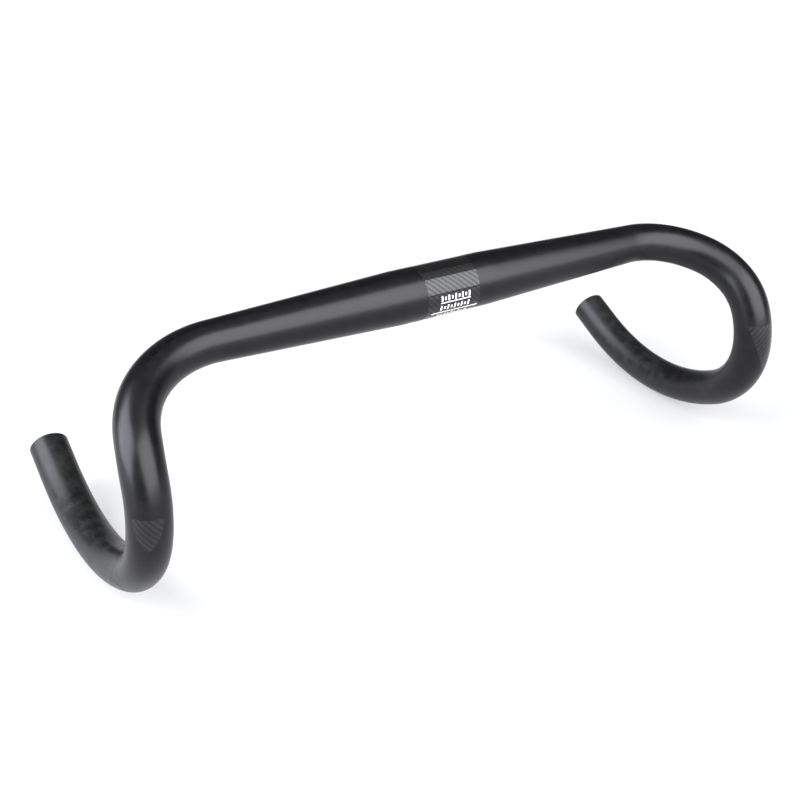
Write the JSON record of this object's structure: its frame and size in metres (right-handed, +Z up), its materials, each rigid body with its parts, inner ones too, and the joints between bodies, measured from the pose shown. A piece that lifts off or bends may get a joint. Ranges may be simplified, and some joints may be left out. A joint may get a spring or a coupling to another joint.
{
  "type": "drop handlebar",
  "caption": "Compact road drop handlebar in matte carbon with a glossy woven clamp band, tapered tops, round shallow hooks and open bar ends.",
  "frame": {"origin": "middle of the stem clamp, on the axis of the tops", "axes": "+X along the tops, to the right seen from behind the rider; -Y forward, the way the hooks reach; +Z up, with the bar at the tilt it has in the picture, taken by a camera without roll"},
  "size_m": [0.4474, 0.1926, 0.1534],
  "materials": {
    "matte_carbon": "matte black varnish over carbon laminate",
    "gloss_weave": "clear gloss over fine woven carbon",
    "gloss_black": "gloss black varnish film",
    "white_print": "white printed ink",
    "bare_laminate": "bare moulded carbon laminate",
    "adhesive": "cured structural epoxy"
  },
  "bodies": {
    "root": {"centre_section": "matte_carbon", "right_drop_section": "matte_carbon", "left_drop_section": "matte_carbon", "clamp_core": "bare_laminate", "right_joint_sleeve": "bare_laminate", "left_joint_sleeve": "bare_laminate", "right_bond_film": "adhesive", "left_bond_film": "adhesive", "clamp_band": "gloss_weave", "right_hook_shield": "gloss_weave", "left_hook_shield": "gloss_weave", "right_shoulder_dashes": "gloss_black", "left_shoulder_dashes": "gloss_black", "size_rules": "white_print", "size_ticks": "white_print"}
  },
  "joints": []
}
